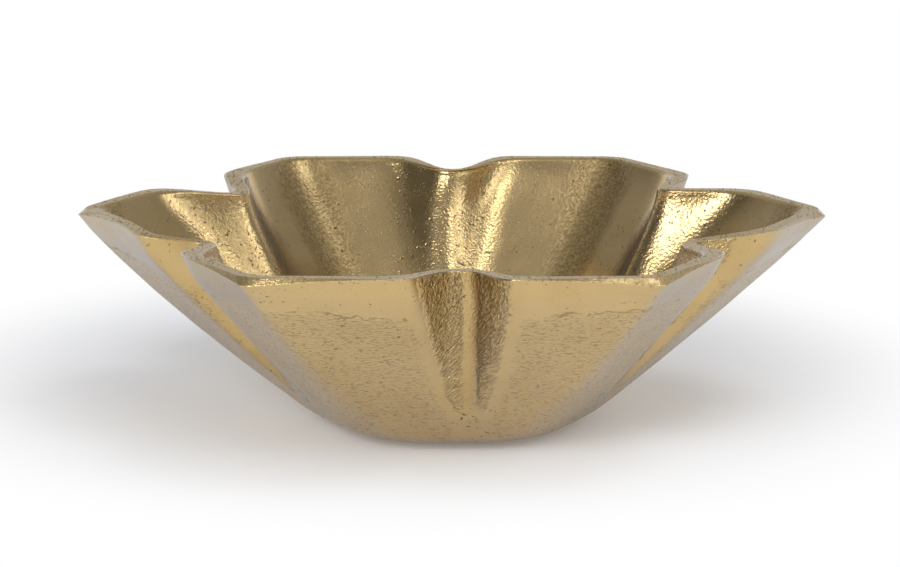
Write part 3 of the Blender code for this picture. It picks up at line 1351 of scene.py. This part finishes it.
    def roughen(self, mesh: bpy.types.Mesh, marks: dict[Mark, np.ndarray]) -> None:
        """Gives the casting the swells and ripples that its mould left.

        Args:
            mesh: the even mesh, which is changed.
            marks: the values kept at its points.
        """
        mesh.update()
        points = np.zeros(len(mesh.vertices) * 3)
        normals = np.zeros(len(mesh.vertices) * 3)
        mesh.vertices.foreach_get("co", points)
        mesh.vertices.foreach_get("normal", normals)
        points = points.reshape(-1, 3)
        normals = normals.reshape(-1, 3)
        groove = ramp(marks[Mark.GROOVE_GAP], self.swell_groove_edge) * (1 - marks[Mark.LAND])
        clear = ramp(marks[Mark.HEIGHT], self.swell_heights)
        ground = marks[Mark.LAND] + marks[Mark.BEVEL]
        for swell in self.swells:
            share = clear * (groove if swell.grooves_only else 1 - swell.ground_off * ground)
            scaled = points * (PER_MM / swell.size)
            values = np.array([noise.noise(Vector(point)) for point in scaled])
            points = points + normals * (values * swell.height * MM * share)[:, None]
        mesh.vertices.foreach_set("co", points.ravel())
        mesh.update()


@dataclass
class FeltPads:
    """Six die-cut felt dots between the base and what the bowl stands on."""

    carrier: str = "cast_bowl"
    nodes: tuple[str, ...] = tuple(f"felt_pad_{count + 1}" for count in range(SIDES))
    segments: int = 72
    edge_round: float = 0.00040
    edge_steps: int = 5
    core_shares: tuple[float, ...] = (0.3, 0.6, 0.85)
    glue_clearance: float = 0.00004
    fuzz: float = 0.00007
    fuzz_size: float = 0.0005
    finish: WoolFelt = WoolFelt()

    def build(self) -> list[bpy.types.Object]:
        """Builds every dot and dresses it, in the order of the nodes."""
        material = self.finish.material()
        return [self.dot(node, material) for node in self.nodes]

    def dot(self, node: str, material: bpy.types.Material) -> bpy.types.Object:
        """Builds one dot in the place of its node.

        Args:
            node: the node that it replaces.
            material: its finish.

        Returns:
            The dot.
        """
        low, high = (np.array(corner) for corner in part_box(node))
        middle = (low + high)[:2] / 2
        radius = (high[0] - low[0]) / 2
        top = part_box(self.carrier)[0][2] - self.glue_clearance
        rings = [self.ring(middle, radius, *point) for point in self.profile(radius, top)]
        mesh = stacked_mesh(node, rings, (*middle, top), (*middle, 0.0))
        mesh.materials.append(material)
        return seat(f"felt_dot_{node[-1]}", mesh, node)

    def ring(self, middle: np.ndarray, radius: float, reach: float, height: float) -> np.ndarray:
        """One ring of a dot, more frayed the nearer it lies to the cut edge.

        Args:
            middle: the dot's axis.
            radius: the dot's radius.
            reach: the ring's even radius.
            height: the ring's height.

        Returns:
            One row of coordinates for each point.
        """
        points = []
        for way in around(self.segments):
            even = middle + way * reach
            hair = noise.noise(Vector((*even, height)) / self.fuzz_size) * self.fuzz * reach / radius
            points.append((*(even + way * hair), height))
        return np.array(points)

    def profile(self, radius: float, top: float) -> list[Span]:
        """Outline of a dot's section, from its underside round its edge to its top.

        Args:
            radius: the dot's radius.
            top: height of its top.

        Returns:
            Distances from its axis and heights.
        """
        turns = np.linspace(0.0, math.pi / 2, self.edge_steps)
        core = radius - self.edge_round
        lower = [(core + self.edge_round * math.sin(t), self.edge_round * (1 - math.cos(t))) for t in turns]
        upper = [(reach, top - height) for reach, height in lower[::-1]]
        inner = [radius * share for share in self.core_shares]
        return [(r, 0.0) for r in inner] + lower + upper + [(r, top) for r in inner[::-1]]


@dataclass(frozen=True)
class Softbox:
    """A soft lamp, aimed at the bowl.

    Attributes:
        name: what it is called.
        azimuth: its direction seen from the bowl, in degrees anticlockwise from +X.
        elevation: its height above the horizon, in degrees.
        distance: how far off it stands.
        width: width of its face.
        height: height of its face.
        glow: brightness of its face, where 1 is white.
    """

    name: str
    azimuth: float
    elevation: float
    distance: float
    width: float
    height: float
    glow: float


@dataclass
class Studio:
    """Floor, lamps, surroundings and camera.

    Lengths are in metres. A glow or a strength of 1 is white, and the power of a white lamp is what it takes
    in watts for each square metre of its face. Lengths in pixels are measured in the photograph.
    """

    aim: Vector = field(default_factory=lambda: Vector((0.0, 0.0, 0.0715)))
    floor_radius: float = 5.0
    floor_rings: tuple[float, ...] = (3.0, 1.5, 0.5)
    floor_segments: int = 96
    sweep_radius: float = 0.9
    sweep_turn: float = math.radians(85)
    sweep_steps: int = 12
    floor_colour: Colour = (0.86, 0.86, 0.86)
    floor_lift: float = 0.13
    lit_middle: Place = (-0.012, 0.065, 0.0)
    lit_edge: Span = (0.09, 0.21)
    white: float = 1.0
    card_distance: float = 2.2
    card_width: float = 4.4
    card_height: float = 1.15
    card_glow: float = 1.2
    surroundings: float = 0.32
    surroundings_behind: float = 0.50
    surroundings_left: float = -0.18
    behind_edge: Span = (-0.1, 0.8)
    left_edge: Span = (-0.66, -0.80)
    lamp_colour: Colour = (0.95, 0.99, 1.10)
    white_lamp_power: float = 4.0
    softboxes: tuple[Softbox, ...] = (
        Softbox("left_softbox", -121.0, 26.0, 1.2, 0.58, 0.52, 5.6),
        Softbox("right_softbox", -34.0, 34.0, 1.2, 1.40, 0.55, 0.75),
        Softbox("right_strip", -20.0, 30.0, 1.2, 0.26, 0.60, 1.5),
        Softbox("high_softbox", -42.0, 62.0, 1.2, 0.42, 0.42, 3.3),
        Softbox("top_panel", -90.0, 84.0, 1.5, 1.0, 1.2, 0.14),
    )
    photo_width: float = 900.0
    sensor: float = 36.0
    focal_pixels: float = 2834.17
    aim_right_pixels: float = 2.95
    aim_up_pixels: float = 72.64
    camera_distance: float = 0.95214
    camera_elevation: float = math.radians(10.728)

    def build(self) -> None:
        """Sets up everything round the bowl."""
        bpy.context.scene.view_settings.view_transform = "Standard"
        self.floor()
        self.card()
        self.world()
        for softbox in self.softboxes:
            self.lamp(softbox)
        self.camera()

    def floor(self) -> None:
        """A wide pale floor whose far edge sweeps up."""
        profile = []
        for turn in np.linspace(self.sweep_turn, 0.0, self.sweep_steps):
            out = self.floor_radius + self.sweep_radius * math.sin(turn)
            profile.append((out, self.sweep_radius * (1 - math.cos(turn))))
        profile += [(radius, 0.0) for radius in self.floor_rings]
        ways = around(self.floor_segments)
        rings = [np.column_stack([ways * out, np.full(len(ways), height)]) for out, height in profile]
        stand(stacked_mesh("studio_floor", rings, (0.0, 0.0, 0.0)), self.floor_material())

    def card(self) -> None:
        """A pale card that stands behind the bowl and shows in its ground rim."""
        half = self.card_width / 2
        corners = [(-half, 0.0), (half, 0.0), (half, self.card_height), (-half, self.card_height)]
        mesh = bpy.data.meshes.new("back_card")
        mesh.from_pydata([(x, self.card_distance, z) for x, z in corners], [], [(0, 1, 2, 3)])
        material, shop = new_material("pale_card")
        shop.show(shop.node("ShaderNodeEmission", sockets={"Strength": self.card_glow}))
        stand(mesh, material)

    def floor_material(self) -> bpy.types.Material:
        """Pale paper that is lit near the bowl and plain white farther off.

        Returns:
            The material.
        """
        material, shop = new_material("pale_paper")
        path = "ShaderNodeLightPath"
        rays = [shop.node(path, output=f"Is {ray} Ray") for ray in ("Camera", "Glossy", "Transmission")]
        seen = shop.step(rays[0] + rays[1] + rays[2], (0.0, 1.0))
        here = shop.node("ShaderNodeTexCoord", output="Object")
        sockets = {0: here, 1: self.lit_middle}
        reach = shop.node("ShaderNodeVectorMath", {"operation": "DISTANCE"}, sockets, "Value")
        far = shop.step(reach, self.lit_edge)
        paper = shop.node("ShaderNodeBsdfDiffuse", sockets={"Color": (*self.floor_colour, 1.0)})
        lift = shop.node("ShaderNodeEmission", sockets={"Strength": self.floor_lift})
        white = shop.node("ShaderNodeEmission", sockets={"Strength": self.white})
        lifted = shop.node("ShaderNodeAddShader", sockets={0: paper, 1: lift})
        near = shop.node("ShaderNodeMixShader", sockets={0: seen, 1: paper, 2: lifted})
        shop.show(shop.node("ShaderNodeMixShader", sockets={0: seen * far, 1: near, 2: white}))
        return material

    def world(self) -> None:
        """Dim surroundings, a little brighter behind the bowl and darker on its left."""
        world = bpy.data.worlds.new("studio_surroundings")
        bpy.context.scene.world = world
        world.use_nodes = True
        shop = NodeShop(world.node_tree)
        sockets = {0: shop.node("ShaderNodeTexCoord", output="Generated")}
        behind = shop.step(shop.node("ShaderNodeSeparateXYZ", None, sockets, "Y"), self.behind_edge)
        left = shop.step(shop.node("ShaderNodeSeparateXYZ", None, sockets, "X"), self.left_edge)
        gain = behind * (self.surroundings_behind - self.surroundings)
        strength = gain + left * self.surroundings_left + self.surroundings
        shop.show(shop.node("ShaderNodeBackground", sockets={"Strength": strength}), "ShaderNodeOutputWorld")

    def lamp(self, softbox: Softbox) -> None:
        """Hangs one soft lamp.

        Args:
            softbox: the lamp.
        """
        light = bpy.data.lights.new(softbox.name, "AREA")
        light.shape = "RECTANGLE"
        light.size = softbox.width
        light.size_y = softbox.height
        light.color = self.lamp_colour
        light.energy = self.white_lamp_power * softbox.width * softbox.height * softbox.glow
        azimuth, elevation = math.radians(softbox.azimuth), math.radians(softbox.elevation)
        level = math.cos(elevation)
        way = Vector((math.cos(azimuth) * level, math.sin(azimuth) * level, math.sin(elevation)))
        lamp = linked(softbox.name, light)
        lamp.location = self.aim + way * softbox.distance
        lamp.rotation_euler = (-way).to_track_quat("-Z", "Y").to_euler()
        lamp.visible_camera = False

    def camera(self) -> None:
        """Sets the camera where the photograph was taken from."""
        data = bpy.data.cameras.new("photo_camera")
        data.sensor_width = self.sensor
        data.lens = self.focal_pixels * self.sensor / self.photo_width
        camera = linked("photo_camera", data)
        level = math.cos(self.camera_elevation)
        away = Vector((0.0, -level, math.sin(self.camera_elevation)))
        camera.location = self.aim + away * self.camera_distance
        pitch = self.camera_elevation + math.atan(self.aim_up_pixels / self.focal_pixels)
        yaw = math.atan(self.aim_right_pixels / self.focal_pixels)
        camera.rotation_euler = (math.pi / 2 - pitch, 0.0, yaw)
        bpy.context.scene.camera = camera


def main() -> None:
    """Builds the bowl, its felt dots and the studio."""
    logging.basicConfig(level=logging.INFO, format="%(name)s: %(message)s")
    casting = CastBowl().build()
    CastBrass().dress(casting)
    LOG.info("%s has %d faces", casting.name, len(casting.data.polygons))
    for dot in FeltPads().build():
        LOG.info("%s has %d faces", dot.name, len(dot.data.polygons))
    Studio().build()


if __name__ == "__main__":
    main()
